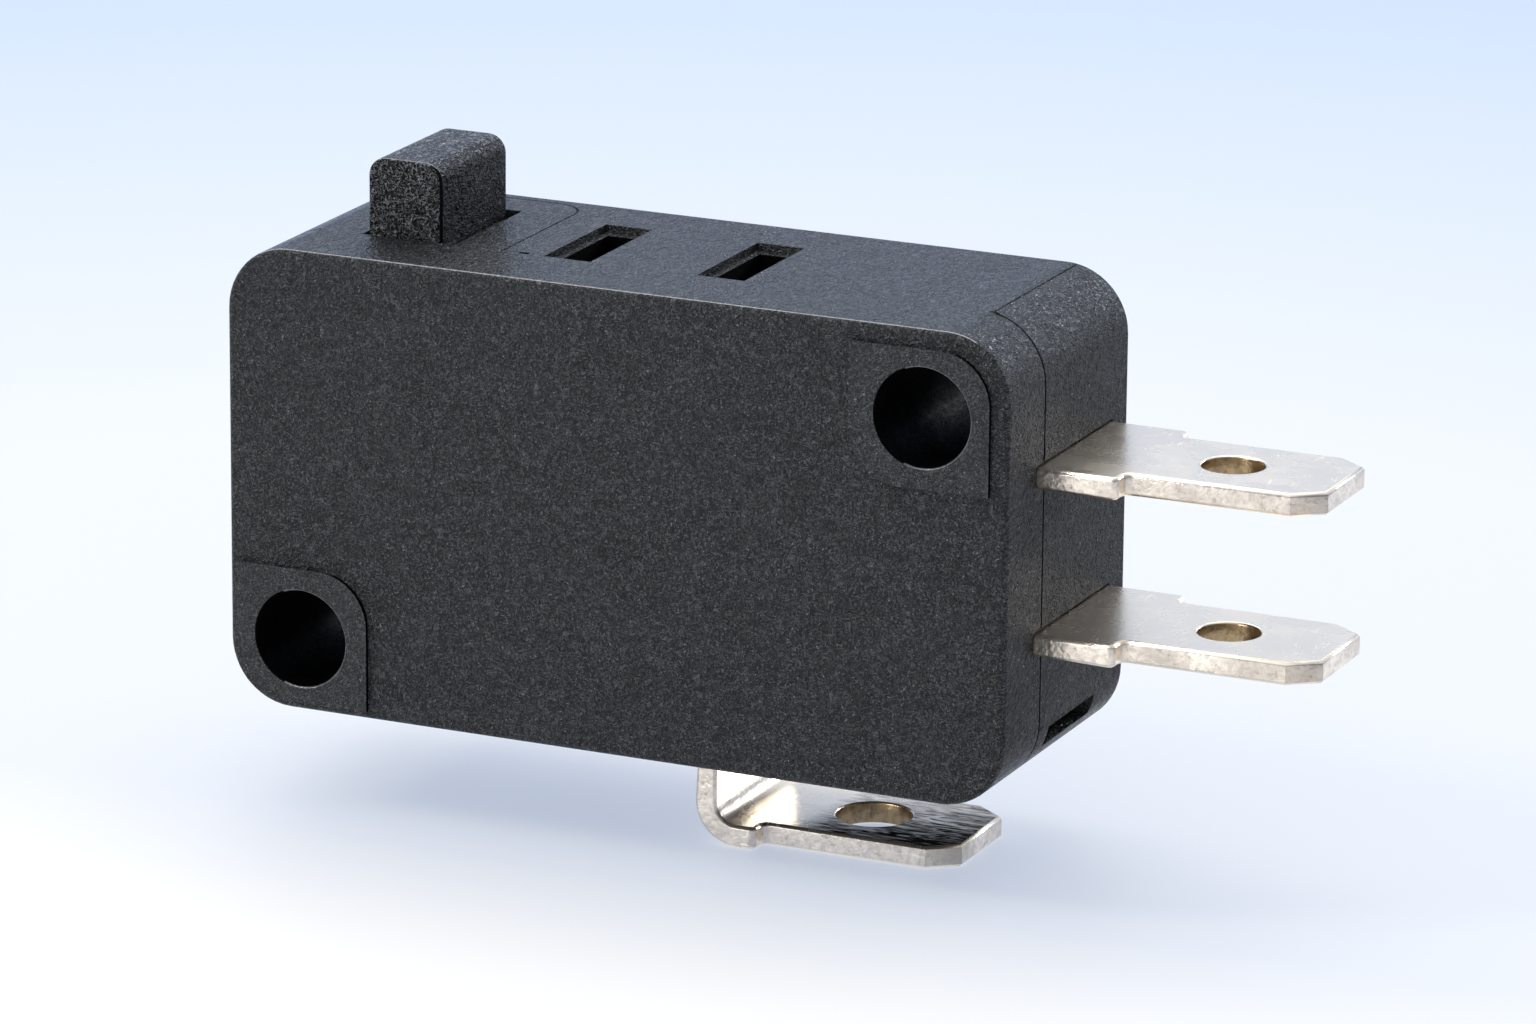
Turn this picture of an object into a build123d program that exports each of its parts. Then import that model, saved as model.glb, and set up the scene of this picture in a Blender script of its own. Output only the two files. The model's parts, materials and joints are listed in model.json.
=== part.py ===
"""Plunger micro switch with blade terminals, in millimetres.

The rear mounting face lies at y = 0 and the front faces -Y. +X runs to the end with the two
terminals and +Z is the direction in which the plunger stands out. The origin is on the axis of the
lower left mounting hole, in the plane of the rear face. A depth is a distance from the rear face
towards the front.
"""

import os
from math import asin, atan2, cos, degrees, hypot, radians, sin

from build123d import *

# Moulded body
length = 27.8
height = 15.65
thickness = 10.3
corner_radius = 2.2
pad_height = 0.15
seam_from_front = 3.15
wall = 1.4
rear_wall = 1.3
cover_wall = 1.5
front_edge_radius = 0.22
rear_edge_radius = 0.25
seam_bevel = 0.05

# Mounting holes and the pads round them
hole_from_left = 2.7
hole_from_bottom = 2.5
hole_from_right = 2.9
hole_from_top = 2.85
hole_diameter = 3.3
hole_bevel = 0.05
boss_wall = 0.75
pad_width = 4.85
pad_tall = 4.6
pad_inset_lower = 0.28
pad_inset_upper = 0.6
pad_inner_radius = 1.75
pad_outer_radius = 1.7

# Lip of the cover inside the rim of the case, and the moulded pegs
lip_wall = 0.5
lip_reach = 0.6
fit_gap = 0.05
peg_diameter = 1.3
peg_reach = 1.4
peg_boss_wall = 0.5
upper_peg_from_left = 8.8
lower_peg_from_left = 21.6

# Plunger, its flange, its foot and the slot that it runs in
plunger_from_left = 3.62
plunger_width = 2.7
plunger_depth = 4.8
plunger_stand = 2.6
plunger_top_radius = 0.62
plunger_edge_round = 0.12
plunger_travel = 1.6
plunger_gap = 0.12
slot_gap_left = 0.17
slot_gap_right = 0.5
flange_wide_left = 0.7
flange_wide_right = 1.0
flange_thick = 1.1
foot_width = 1.05
guide_gap = 0.1
guide_drop = 2.4

# Sockets on top for an auxiliary lever
socket_from_left = 10.08
socket_pitch = 5.5
socket_width = 1.68
socket_rear_depth = 2.45
socket_step = 0.24
socket_ledge = 0.31
socket_rear_ledge = 0.5
socket_pocket = 2.6
socket_wall = 0.45

# Fine lines that the mould inserts leave on the top face
line_width = 0.07
line_depth = 0.07
plunger_line_from_left = 8.55
plunger_line_radius = 1.1
plunger_line_rear_depth = 0.6
end_line_from_right = 1.85

# Nick that the mould leaves in the case's rim, beside the plunger's line
nick_from_left = 9.35
nick_radius = 0.2
nick_deep = 0.5

# Slot in the lower right corner
corner_slot_tall = 0.7
corner_slot_from_bottom = 1.15
corner_slot_rear_depth = 2.4
corner_slot_from_seam = 0.85

# Blade terminals
strip = 0.6
tab_behind_middle = 0.375
tab_base_side_gap = 0.15
tab_step_wide = 0.75
tab_reach = 9.3
tab_base_reach = 2.75
tab_hole_diameter = 2.05
tab_hole_from_tip = 3.85
tab_tip_long = 1.0
tab_tip_wide = 0.75
tab_bevel = 0.1
tab_step_round = 0.25
tab_seat_inside = 2.8
joggle_from_seat = 0.4
rib_thick = 1.5
rib_above_strip = 1.4
upper_tab_below_top = 4.78
tab_pitch = 5.55
terminal_gap = 0.05

# Common terminal under the body
common_leg_from_left = 16.05
common_tab_below = 2.62
common_tab_tip_from_left = 24.8
common_base_reach = 1.65
common_bend_radius = 0.7
common_inner_bend_radius = 0.35
fork_side_gap = 0.5
fork_gap = 3.2
fork_rise = 1.2
notch_deep = 0.25

# Contacts
contact_from_right = 8.2
contact_travel = 1.05
contact_gap = 0.03
fixed_head_radius = 1.15
fixed_head_tall = 0.55
moving_head_radius = 1.05
moving_head_tall = 0.5
head_dome = 0.12
shank_radius = 0.5
tail_radius = 0.8
tail_tall = 0.25
rivet_gap = 0.02
contact_strip_width = 3.6

# Contact blade
blade_thick = 0.3
knife_from_left = 7.7
knife_long = 0.32
blade_tip = 1.4
blade_neck_width = 3.0
blade_neck_from_contact = 1.9
rail_width = 1.1

# Actuating lever
pivot_from_left = 2.4
pivot_rise = 1.5
pin_diameter = 1.0
pin_gap = 0.05
eye_wall = 0.35
lever_thick = 0.5
lever_width = 4.0
lever_arm = 3.4
nose_radius = 0.5
nose_gap = 0.05
hook_reach = 4.0
hook_drop = 0.3
tongue_width = 2.4
hook_bar = 0.5
hook_hole = 0.7
lever_bend_radius = 0.4

# Snap spring
wire_diameter = 0.3
ring_radius = 0.55
coil_radius = 0.8
coil_lead = 1.83
coil_turns = 12
spring_from_contact = 2.4

# Places worked out from the sizes above
left = -hole_from_left
right = left + length
bottom = -hole_from_bottom
top = bottom + height
face_depth = thickness - pad_height
parting_depth = thickness - seam_from_front
cavity_left = left + wall
cavity_right = right - wall
cavity_bottom = bottom + wall
cavity_top = top - wall
cavity_front = face_depth - cover_wall
tab_depth = (rear_wall + cavity_front) / 2 - tab_behind_middle
tab_base_width = 2 * (tab_depth - rear_wall - tab_base_side_gap)
tab_blade_width = tab_base_width - 2 * tab_step_wide
fork_width = 2 * (tab_depth - rear_wall - fork_side_gap)
hole_radius = hole_diameter / 2
boss_radius = hole_radius + boss_wall
upper_hole_x = right - hole_from_right
upper_hole_z = top - hole_from_top
holes = [(0, 0), (upper_hole_x, upper_hole_z)]

plunger_left = left + plunger_from_left
plunger_right = plunger_left + plunger_width
slot_rear = parting_depth - plunger_depth - 2 * plunger_gap
slot_left = plunger_left - slot_gap_left
slot_right = plunger_right + slot_gap_right
flange_left = plunger_left - flange_wide_left
flange_right = plunger_right + flange_wide_right
flange_top = cavity_top - fit_gap
flange_bottom = flange_top - flange_thick

upper_tab_top = top - upper_tab_below_top
lower_tab_top = upper_tab_top - tab_pitch
upper_seat_x = upper_hole_x - boss_radius
lower_seat_x = cavity_right - tab_seat_inside
common_tab_top = bottom - common_tab_below
common_leg = left + common_leg_from_left + strip / 2
common_run = cavity_bottom + terminal_gap + strip / 2

contact_x = right - contact_from_right
knife_x = left + knife_from_left
blade_arm = contact_x - knife_x
blade_swing = asin(contact_travel / blade_arm)
moving_half = blade_thick / 2 + moving_head_tall
blade_z = upper_tab_top - strip - fixed_head_tall - contact_gap - moving_half
lower_face = blade_z - blade_arm * sin(blade_swing) - moving_half * cos(blade_swing) - contact_gap
lower_strip_top = lower_face - fixed_head_tall

pivot_x = left + pivot_from_left
pivot_z = blade_z + pivot_rise
lever_lift = asin(plunger_travel / 2 / lever_arm)
nose_x = pivot_x + lever_arm * cos(lever_lift)
nose_z = pivot_z + lever_arm * sin(lever_lift)
foot_bottom = nose_z + nose_radius + nose_gap
hook_x = pivot_x + hook_reach
hook_z = pivot_z - hook_drop
spring_x = contact_x - spring_from_contact


def rect(x0, x1, z0, z1, radius=0.0):
    """Rectangle between two corners, with round corners if a radius is given."""
    middle = Pos((x0 + x1) / 2, (z0 + z1) / 2)
    if radius > 0:
        return middle * RectangleRounded(x1 - x0, z1 - z0, radius)
    return middle * Rectangle(x1 - x0, z1 - z0)


def slab(sketch, rear, front):
    """Solid with the sketch's outline in X and Z, between two depths."""
    return extrude(Plane.XZ.offset(rear) * sketch, amount=front - rear)


def box(x0, x1, rear, front, z0, z1):
    """Box between two places in X, two depths and two heights."""
    return slab(rect(x0, x1, z0, z1), rear, front)


def rod(x, z, radius, rear, front):
    """Round bar along the depth."""
    return slab(Pos(x, z) * Circle(radius), rear, front)


def body_outline():
    """Outer outline of both shells, seen from the front."""
    return rect(left, right, bottom, top, corner_radius)


def cavity_outline(grow=0.0):
    """Outline of the room inside the walls, wider by grow on each side."""
    return rect(
        cavity_left - grow,
        cavity_right + grow,
        cavity_bottom - grow,
        cavity_top + grow,
        corner_radius - wall + grow,
    )


def bosses(rear, front):
    """Tubes round the mounting holes, each with its corner of the body filled in."""
    solid = Part()
    for (x, z), corner_x, corner_z in zip(holes, (left, right), (bottom, top)):
        inward_x = corner_x + wall / 2 * (1 if corner_x < x else -1)
        inward_z = corner_z + wall / 2 * (1 if corner_z < z else -1)
        corner = rect(min(x, inward_x), max(x, inward_x), min(z, inward_z), max(z, inward_z))
        solid += slab(Pos(x, z) * Circle(boss_radius) + corner, rear, front)
    return solid


def mounting_bores(rear, front):
    """Cutting rods for the two mounting holes."""
    return [rod(x, z, hole_radius, rear, front) for x, z in holes]


def peg_places():
    """The upper peg beside the plunger and the lower one near the terminals."""
    boss = peg_diameter / 2 + fit_gap + peg_boss_wall
    return [
        (left + upper_peg_from_left, cavity_top - boss + fit_gap, boss),
        (left + lower_peg_from_left, cavity_bottom + boss - fit_gap, boss),
    ]


def terminal_slots(rear, front):
    """Cutting boxes for the two end terminals and for the common terminal's leg."""
    half = tab_base_width / 2 + terminal_gap
    span = (max(rear, tab_depth - half), min(front, tab_depth + half))
    cuts = []
    for strip_top, inner in ((upper_tab_top, upper_seat_x), (lower_tab_top, lower_seat_x)):
        low = strip_top - strip - terminal_gap
        cuts.append(box(inner, right + wall, *span, low, strip_top + terminal_gap))
    leg = strip / 2 + terminal_gap
    cuts.append(box(common_leg - leg, common_leg + leg, *span, bottom - wall, cavity_bottom + wall))
    relief = common_inner_bend_radius + strip / 2
    cuts.append(box(common_leg - leg - relief, common_leg, *span, cavity_bottom - relief, cavity_bottom))
    return cuts


def make_case():
    """Rear shell: walls, tubes, guides, sockets and every opening that starts at the seam."""
    shell = slab(body_outline(), 0, parting_depth)
    shell = fillet(shell.faces().sort_by(Axis.Y)[-1].edges(), rear_edge_radius)
    shell = chamfer(shell.faces().sort_by(Axis.Y)[0].edges(), seam_bevel)
    shell -= slab(cavity_outline(), rear_wall, parting_depth)

    shell += bosses(rear_wall / 2, parting_depth)
    shell += case_guides()
    shell += lever_pin()
    shell += terminal_rib()
    for x, z, boss in peg_places():
        shell += rod(x, z, boss, rear_wall / 2, parting_depth - lip_reach - fit_gap)

    lip_ring = cavity_outline(lip_wall + fit_gap) - cavity_outline()
    lip_room = slab(lip_ring, parting_depth - lip_reach - fit_gap, parting_depth)
    lip_room -= bosses(0, parting_depth)
    shell -= lip_room
    shell += socket_pockets()

    shell -= plunger_slot()
    shell -= sockets()
    shell -= terminal_slots(0, parting_depth)
    shell -= mounting_bores(-wall, parting_depth + wall)
    for x, z, boss in peg_places():
        peg_hole = peg_diameter / 2 + fit_gap
        shell -= rod(x, z, peg_hole, parting_depth - lip_reach - peg_reach - fit_gap, parting_depth)
    shell -= corner_slot()
    shell -= mould_lines()
    nick = Cylinder(nick_radius, 2 * nick_deep)
    return shell - Pos(left + nick_from_left, -parting_depth, top) * nick


def case_guides():
    """Two ribs beside the plunger's flange, from the rear wall to the lip of the cover."""
    front = parting_depth - lip_reach - fit_gap
    low = cavity_top - guide_drop
    high = cavity_top + wall / 2
    left_rib = box(left + wall / 2, flange_left - guide_gap, rear_wall / 2, front, low, high)
    right_edge = left + upper_peg_from_left
    right_rib = box(flange_right + guide_gap, right_edge, rear_wall / 2, front, low, high)
    return left_rib + right_rib


def lever_pin():
    """Pin moulded on the rear wall, on which the actuating lever turns."""
    return rod(pivot_x, pivot_z, pin_diameter / 2, rear_wall / 2, cavity_front - guide_gap)


def terminal_rib():
    """Upright rib from the bottom wall that holds the lower terminal's strip."""
    high = lower_tab_top + rib_above_strip
    rib_right = lower_seat_x + rib_thick
    return box(lower_seat_x, rib_right, rear_wall / 2, parting_depth, bottom + wall / 2, high)


def plunger_slot():
    """Slot through the top wall, open towards the seam."""
    return box(slot_left, slot_right, slot_rear, parting_depth, cavity_top - fit_gap, top + wall)


def sockets():
    """Stepped sockets in the top wall: a shallow recess and a narrower pocket below it."""
    cuts = []
    for number in range(2):
        x0 = left + socket_from_left + number * socket_pitch
        x1 = x0 + socket_width
        cuts.append(box(x0, x1, socket_rear_depth, parting_depth, top - socket_step, top + wall))
        pocket_rear = socket_rear_depth + socket_rear_ledge
        pocket = box(
            x0 + socket_ledge,
            x1 - socket_ledge,
            pocket_rear,
            parting_depth,
            top - socket_pocket,
            top,
        )
        cuts.append(pocket)
    return cuts


def socket_pockets():
    """Walls that close the sockets below the top wall."""
    walls = Part()
    for number in range(2):
        x0 = left + socket_from_left + number * socket_pitch + socket_ledge - socket_wall
        x1 = x0 + socket_width - 2 * socket_ledge + 2 * socket_wall
        low = top - socket_pocket - socket_wall
        walls += box(x0, x1, rear_wall / 2, parting_depth, low, top - wall / 2)
    return walls


def corner_slot():
    """Slot that a core of the mould leaves in the lower right corner."""
    low = bottom + corner_slot_from_bottom
    return box(
        right - corner_radius,
        right + wall,
        corner_slot_rear_depth,
        parting_depth - corner_slot_from_seam,
        low,
        low + corner_slot_tall,
    )


def mould_lines():
    """Grooves on the top face: one round the plunger's end and one before the right corner."""
    line_x = left + plunger_line_from_left
    path = FilletPolyline(
        (left + corner_radius, -plunger_line_rear_depth),
        (line_x, -plunger_line_rear_depth),
        (line_x, -parting_depth),
        radius=plunger_line_radius,
    )
    around = extrude(Pos(0, 0, top - line_depth) * trace(path, line_width), amount=wall)
    end_x = right - end_line_from_right
    across = box(end_x, end_x + line_width, 0, parting_depth, top - line_depth, top + wall)
    return [around, across]


def pad_outline(number):
    """Outline of a pad: small radius towards the body's corner, larger one inwards."""
    if number == 0:
        x0 = left + pad_inset_lower
        z0 = bottom + pad_inset_lower
    else:
        x0 = right - pad_inset_upper - pad_width
        z0 = top - pad_inset_upper - pad_tall
    outline = rect(x0, x0 + pad_width, z0, z0 + pad_tall)
    corners = outline.vertices().sort_by(Axis((0, 0, 0), (1, 1, 0)))
    inner, outer = (corners[-1], corners[0]) if number == 0 else (corners[0], corners[-1])
    outer_place = tuple(outer)
    outline = fillet(inner, pad_inner_radius)
    outer = outline.vertices().sort_by_distance(outer_place)[0]
    return fillet(outer, pad_outer_radius)


def make_cover():
    """Front shell: plate, rim, lip, pegs, pads and its half of the openings."""
    shell = slab(body_outline(), parting_depth, face_depth)
    shell = fillet(shell.faces().sort_by(Axis.Y)[0].edges(), front_edge_radius)
    shell = chamfer(shell.faces().sort_by(Axis.Y)[-1].edges(), seam_bevel)
    shell -= slab(cavity_outline(), parting_depth, cavity_front)

    lip_ring = cavity_outline(lip_wall) - cavity_outline()
    lip = slab(lip_ring, parting_depth - lip_reach, parting_depth + lip_reach)
    lip -= slab(
        sum((Pos(x, z) * Circle(boss_radius + fit_gap) for x, z in holes), Sketch()),
        0,
        parting_depth,
    )
    shell += lip_with_gaps(lip)
    shell += bosses(parting_depth, face_depth - cover_wall / 2)
    for x, z, boss in peg_places():
        shell += rod(x, z, boss, parting_depth, cavity_front + cover_wall / 2)
        shell += rod(x, z, peg_diameter / 2, parting_depth - lip_reach - peg_reach, parting_depth)

    for number in range(2):
        shell += slab(pad_outline(number), face_depth - pad_height, thickness)
    shell -= terminal_slots(parting_depth - fit_gap, face_depth)
    shell -= mounting_bores(0, thickness + wall)
    for x, z in holes:
        bevel = Pos(x, z) * Circle(hole_radius + hole_bevel)
        shell -= extrude(Plane.XZ.offset(thickness) * bevel, amount=-hole_bevel, taper=45)
    return shell


def lip_with_gaps(lip):
    """The cover's lip, left out where terminals, plunger, sockets, ribs and tubes pass."""
    rear = 0
    front = parting_depth
    high = top + wall
    lip -= box(flange_left - guide_gap, slot_right + wall / 2, rear, front, cavity_top - wall, high)
    for number in range(2):
        x0 = left + socket_from_left + number * socket_pitch
        lip -= box(x0 - socket_wall, x0 + socket_width + socket_wall, rear, front, cavity_top - wall, high)
    for strip_top in (upper_tab_top, lower_tab_top):
        low = strip_top - strip - wall / 2
        lip -= box(cavity_right - wall, right, rear, front, low, strip_top + wall / 2)
    leg = strip / 2 + wall / 2
    lip -= box(common_leg - leg, common_leg + leg, rear, front, bottom, cavity_bottom + wall)
    rib_room = lower_seat_x - fit_gap
    lip -= box(rib_room, right, rear, front, bottom, lower_tab_top + rib_above_strip + fit_gap)
    for (x, z), corner_x, corner_z in zip(holes, (left, right), (bottom, top)):
        reach = boss_radius + fit_gap
        x0, x1 = sorted((corner_x, x + reach * (1 if corner_x < x else -1)))
        z0, z1 = sorted((corner_z, z + reach * (1 if corner_z < z else -1)))
        lip -= box(x0, x1, rear, front, z0, z1)
    return lip


def make_plunger():
    """Button with round top edges, a flange under the top wall and a foot for the lever."""
    button = rect(plunger_left, plunger_right, flange_bottom, top + plunger_stand)
    crown = button.vertices().group_by(Axis.Y)[-1]
    button = fillet(crown, plunger_top_radius)
    rear = slot_rear + plunger_gap
    body = slab(button, rear, rear + plunger_depth)
    ends = body.faces().filter_by(Axis.Y)
    rims = [edge for face in ends for edge in face.edges() if edge.center().Z > top]
    body = fillet(rims, plunger_edge_round)
    body += box(flange_left, flange_right, rear, rear + plunger_depth, flange_bottom, flange_top)
    foot_left = nose_x - foot_width / 2
    body += box(foot_left, foot_left + foot_width, rear, rear + plunger_depth, foot_bottom, flange_top)
    return body


def tab_plan(inner, step, tip):
    """Plan of a blade terminal from above: wide base, narrower blade, cut corners and hole."""
    half = tab_blade_width / 2
    blade = Polygon(
        (step - tab_blade_width / 2, -half),
        (tip - tab_tip_long, -half),
        (tip, tab_tip_wide - half),
        (tip, half - tab_tip_wide),
        (tip - tab_tip_long, half),
        (step - tab_blade_width / 2, half),
        align=None,
    )
    plan = blade + rect(inner, step, -tab_base_width / 2, tab_base_width / 2)
    shoulders = [v for v in plan.vertices() if abs(v.X - step) < tab_step_round]
    plan = fillet(shoulders, tab_step_round)
    return plan - Pos(tip - tab_hole_from_tip, 0) * Circle(tab_hole_diameter / 2)


def bevel_blade(terminal, step, strip_top):
    """Break the long edges of a terminal's blade and its tip."""
    edges = [
        edge
        for edge in terminal.edges().filter_by(GeomType.LINE)
        if edge.center().X > step + tab_step_round
        and min(abs(edge.center().Z - strip_top), abs(edge.center().Z - strip_top + strip)) < tab_bevel
    ]
    return chamfer(edges, tab_bevel)


def drop_to(plan, low, tall):
    """Solid of a plan seen from above, on the terminals' middle line."""
    return extrude(Pos(0, -tab_depth, low) * plan, amount=tall)


def make_nc_terminal():
    """Upper terminal: a flat strip from its contact to the blade outside."""
    step = right + tab_base_reach
    plan = tab_plan(upper_seat_x, step, right + tab_reach) + contact_end(upper_seat_x)
    terminal = drop_to(plan, upper_tab_top - strip, strip)
    terminal = bevel_blade(terminal, step, upper_tab_top)
    return terminal - rod_up(contact_x, shank_radius + rivet_gap, upper_tab_top - strip, strip)


def contact_end(inner):
    """Narrow inner end of a strip, round about the place of its contact."""
    reach = rect(contact_x, inner + wall, -contact_strip_width / 2, contact_strip_width / 2)
    return reach + Pos(contact_x, 0) * Circle(contact_strip_width / 2)


def rod_up(x, radius, low, tall):
    """Upright round bar on the terminals' middle line."""
    return extrude(Pos(x, -tab_depth, low) * Circle(radius), amount=tall)


def make_no_terminal():
    """Lower terminal: its strip steps up inside, to meet the blade's contact."""
    step = right + tab_base_reach
    tip = right + tab_reach
    rise = lower_strip_top - lower_tab_top
    middle = lower_tab_top - strip / 2
    joggle_x = lower_seat_x - joggle_from_seat
    path = FilletPolyline(
        (tip, middle),
        (joggle_x, middle),
        (joggle_x - rise, middle + rise),
        (contact_x - contact_strip_width, middle + rise),
        radius=strip,
    )
    bent = slab(trace(path, strip), tab_depth - tab_base_width / 2, tab_depth + tab_base_width / 2)
    inner = joggle_x - rise
    plan = tab_plan(inner, step, tip) + contact_end(inner)
    terminal = bent & drop_to(plan, bottom, height)
    terminal = bevel_blade(terminal, step, lower_tab_top)
    return terminal - rod_up(contact_x, shank_radius + rivet_gap, lower_strip_top - strip, strip)


def make_com_terminal():
    """Common terminal: blade, leg through the bottom wall, run inside and fork for the blade."""
    tip = left + common_tab_tip_from_left
    tab_middle = common_tab_top - strip / 2
    fork_middle = knife_x - notch_deep / 2 - strip / 4
    path = FilletPolyline(
        (tip, tab_middle),
        (common_leg, tab_middle),
        (common_leg, common_run),
        (fork_middle, common_run),
        (fork_middle, blade_z + fork_rise),
        radius=[
            common_bend_radius + strip / 2,
            common_inner_bend_radius + strip / 2,
            common_inner_bend_radius + strip / 2,
        ],
    )
    bent = slab(trace(path, strip), tab_depth - tab_base_width / 2, tab_depth + tab_base_width / 2)
    step = left + common_leg_from_left + common_base_reach
    outer_plan = tab_plan(common_leg - strip, step, tip)
    inner_plan = rect(fork_middle - strip, common_leg, -fork_width / 2, fork_width / 2)
    outside = drop_to(outer_plan, common_tab_top - 2 * strip, cavity_bottom - common_tab_top + 2 * strip)
    terminal = bent & (outside + drop_to(inner_plan, cavity_bottom, height))

    front_of_fork = fork_middle + strip / 2
    gap_rear = tab_depth - fork_gap / 2
    terminal -= box(
        fork_middle - strip,
        fork_middle + strip,
        gap_rear,
        gap_rear + fork_gap,
        common_run + common_inner_bend_radius + strip,
        blade_z + 2 * fork_rise,
    )
    apex = front_of_fork - notch_deep
    notch = Polygon(
        (apex, blade_z),
        (apex + 2 * notch_deep, blade_z - 2 * notch_deep),
        (apex + 2 * notch_deep, blade_z + 2 * notch_deep),
        align=None,
    )
    terminal -= slab(notch, 0, thickness)
    return bevel_blade(terminal, step, common_tab_top)


def contact_head(radius, tall, low):
    """Round contact head with a shallow dome on top, standing at a height."""
    dome_radius = (radius**2 + head_dome**2) / (2 * head_dome)
    disc = Pos(0, 0, low + tall / 2) * Cylinder(radius, tall)
    return disc & (Pos(0, 0, low + tall - dome_radius) * Sphere(dome_radius))


def fixed_contact(strip_face, up):
    """Contact rivet: domed head, shank through the strip and an upset tail."""
    rivet = contact_head(fixed_head_radius, fixed_head_tall, 0)
    rivet += Pos(0, 0, -strip / 2) * Cylinder(shank_radius, strip)
    rivet += Pos(0, 0, -strip - tail_tall / 2) * Cylinder(tail_radius, tail_tall)
    if not up:
        rivet = Rot(180, 0, 0) * rivet
    return Pos(contact_x, -tab_depth, strip_face) * rivet


def make_moving_contact():
    """Double-headed contact rivet through the blade."""
    head = contact_head(moving_head_radius, moving_head_tall, blade_thick / 2)
    rivet = Cylinder(shank_radius, blade_thick) + head + Rot(180, 0, 0) * head
    return Pos(contact_x, -tab_depth, blade_z) * rivet


def make_contact_blade():
    """Forked blade: two rails with knife edges, and a neck that carries the contact."""
    tip = contact_x + blade_tip
    half = blade_thick / 2
    section = Polygon(
        (knife_x, blade_z),
        (knife_x + knife_long, blade_z - half),
        (tip, blade_z - half),
        (tip, blade_z + half),
        (knife_x + knife_long, blade_z + half),
        align=None,
    )
    solid = slab(section, tab_depth - fork_width / 2, tab_depth + fork_width / 2)
    neck_x = contact_x - blade_neck_from_contact
    plan = rect(knife_x - wall, neck_x, -fork_width / 2, fork_width / 2)
    window_end = spring_x - hook_bar / 2
    window = fork_width / 2 - rail_width
    plan -= rect(knife_x - wall, window_end, -window, window)
    neck = rect(neck_x - hook_bar, contact_x, -blade_neck_width / 2, blade_neck_width / 2)
    plan += neck + Pos(contact_x, 0) * Circle(blade_tip)
    plan -= Pos(spring_x + hook_bar / 2 + hook_hole / 2, 0) * Circle(hook_hole / 2)
    plan -= Pos(contact_x, 0) * Circle(shank_radius + rivet_gap)
    return solid & drop_to(plan, blade_z - blade_thick, 2 * blade_thick)


def make_actuating_lever():
    """Bent strip: an eye on the pin, a nose under the plunger and a tongue for the spring."""
    slope = lever_lift
    bend_z = pivot_z + hook_reach * sin(slope) / cos(slope)
    path = FilletPolyline(
        (pivot_x, pivot_z),
        (hook_x, bend_z),
        (hook_x, hook_z - hook_bar / 2),
        radius=lever_bend_radius,
    )
    rear = tab_depth - lever_width / 2
    front = tab_depth + lever_width / 2
    lever = slab(trace(path, lever_thick), rear, front)
    lever += rod(pivot_x, pivot_z, pin_diameter / 2 + pin_gap + eye_wall, rear, front)
    lever += rod(nose_x, nose_z, nose_radius, rear, front)
    lever -= rod(pivot_x, pivot_z, pin_diameter / 2 + pin_gap, 0, thickness)

    tongue_rear = tab_depth - tongue_width / 2
    tongue_front = tab_depth + tongue_width / 2
    side_x = nose_x + nose_radius
    low = hook_z - hook_bar
    for cut_rear, cut_front in ((0, tongue_rear), (tongue_front, thickness)):
        lever -= box(side_x, hook_x + lever_thick, cut_rear, cut_front, low, bend_z + lever_thick)
    hole_low = hook_z + hook_bar / 2
    lever -= box(
        hook_x - lever_thick,
        hook_x + lever_thick,
        tab_depth - hook_hole / 2,
        tab_depth + hook_hole / 2,
        hole_low,
        hole_low + hook_hole,
    )
    return lever


def make_snap_spring():
    """Tension spring: a closed ring at each end, straight leads and a round coil."""
    span = hypot(spring_x - hook_x, blade_z - hook_z)
    wire = wire_diameter / 2
    coil_long = span - 2 * coil_lead
    helix = Helix(coil_long / coil_turns, coil_long, coil_radius, center=(0, 0, coil_lead))
    section = Plane(origin=helix @ 0, z_dir=helix % 0) * Circle(wire)
    spring = sweep(section, path=helix, is_frenet=True)
    for ring_z, coil_z, side in ((0, coil_lead, 1), (span, span - coil_lead, -1)):
        ring = Pos(0, 0, ring_z) * Rot(90, 0, 0) * Torus(ring_radius, wire)
        lead_from = Vector(0, 0, ring_z + side * ring_radius)
        lead_to = Vector(coil_radius, 0, coil_z)
        lead = Plane(origin=lead_from, z_dir=lead_to - lead_from) * Circle(wire)
        spring += ring + extrude(lead, amount=(lead_to - lead_from).length)
        spring += Pos(*lead_to) * Sphere(wire)
    direction = Vector(spring_x - hook_x, 0, blade_z - hook_z)
    place = Plane(origin=(hook_x, -tab_depth, hook_z), x_dir=(0, 1, 0), z_dir=direction)
    return place * Rot(0, 0, 90) * spring


def print_motion():
    """Print where each joint lies and how far it turns for the plunger's full travel."""
    lever_swing = 2 * lever_lift
    hook_after = Vector(hook_reach, 0, -hook_drop).rotate(Axis.Y, degrees(lever_swing))
    eye_after = Vector(spring_x - knife_x, 0, 0).rotate(Axis.Y, degrees(blade_swing))
    rest = atan2(hook_z - blade_z, hook_x - spring_x)
    pressed = atan2(
        pivot_z + hook_after.Z - blade_z - eye_after.Z,
        pivot_x + hook_after.X - knife_x - eye_after.X,
    )
    spring_swing = (pressed - rest) % radians(360) + blade_swing
    print("lever pivot", round(pivot_x, 3), round(pivot_z, 3), "swing", round(degrees(lever_swing), 3))
    print("blade pivot", round(knife_x, 3), round(blade_z, 3), "swing", round(degrees(blade_swing), 3))
    print("spring eye", round(spring_x, 3), round(blade_z, 3), "swing", round(degrees(spring_swing), 3))


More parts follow.
